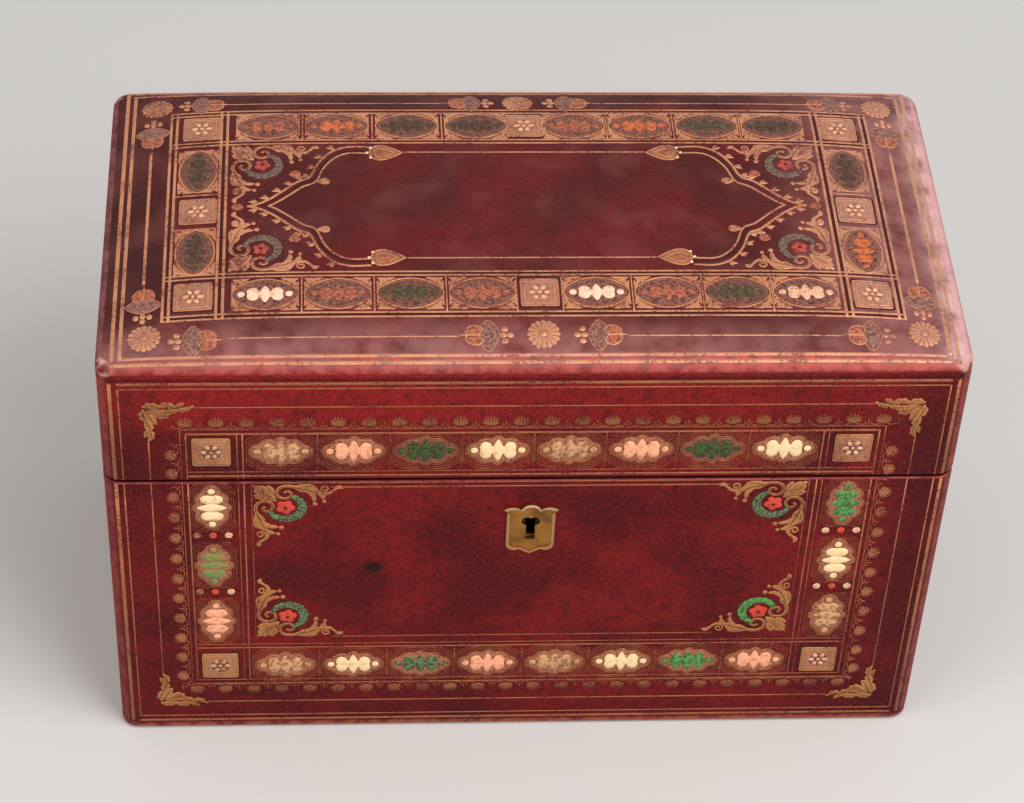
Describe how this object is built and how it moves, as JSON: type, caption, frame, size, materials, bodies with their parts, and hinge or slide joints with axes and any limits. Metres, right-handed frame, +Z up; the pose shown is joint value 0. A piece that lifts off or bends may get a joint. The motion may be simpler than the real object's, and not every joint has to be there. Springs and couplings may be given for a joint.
{
  "type": "stationery box",
  "caption": "Leather-covered desk box for notepaper and envelopes, with a hinged cambered lid, a box lock and lined upright compartments.",
  "frame": {"origin": "middle of the underside, under the box's bounding box", "axes": "+Z up, +X to the right along the front, +Y from the lock towards the hinges"},
  "size_m": [0.23, 0.1166, 0.1495],
  "materials": {
    "carcass_wood": "sawn and planed",
    "lined_board": "thin board covered in paper",
    "morocco": "grained goatskin, gilt tooled and worn",
    "card": "pulp card",
    "baize": "napped wool",
    "lining": "watered silk on paper",
    "silk": "padded silk",
    "brass": "worn satin",
    "gilt_brass": "gilt, worn",
    "steel": "drawn"
  },
  "bodies": {
    "base": {"bottom_board": "carcass_wood", "front_board": "carcass_wood", "back_board": "carcass_wood", "left_board": "carcass_wood", "right_board": "carcass_wood", "base_leather": "morocco", "underside_card": "card", "underside_baize": "baize", "floor_lining": "lining", "front_liner": "lined_board", "back_liner": "lined_board", "left_liner": "lined_board", "right_liner": "lined_board", "front_divider": "lined_board", "back_divider": "lined_board", "cross_divider": "lined_board", "lock_case": "brass", "lock_plate": "brass", "selvedge_plate": "brass", "lock_screws": "brass", "drill_pin": "brass", "bolt_guides": "brass", "escutcheon": "gilt_brass", "base_leaf_left": "brass", "base_leaf_right": "brass", "hinge_pin_left": "steel", "hinge_pin_right": "steel", "base_hinge_screws": "brass"},
    "bolt": {"lock_bolt": "brass", "bolt_spring": "steel"},
    "lid": {"lid_top": "carcass_wood", "lid_front_rail": "carcass_wood", "lid_back_rail": "carcass_wood", "lid_left_rail": "carcass_wood", "lid_right_rail": "carcass_wood", "lid_leather": "morocco", "lid_lining": "lining", "lid_pad": "silk", "lid_leaf_left": "brass", "lid_leaf_right": "brass", "lid_hinge_screws": "brass", "link_plate": "brass", "link_plate_screws": "brass"}
  },
  "joints": [
    {"name": "lid_hinge", "type": "hinge", "parent": "base", "child": "lid", "pos_m": [0, 0.0558, 0.1027], "axis": [-1, 0, 0], "range_deg": [0, 95]},
    {"name": "bolt_slide", "type": "slide", "parent": "base", "child": "bolt", "axis": [1, 0, 0], "range_m": [0, 0.0042]}
  ]
}
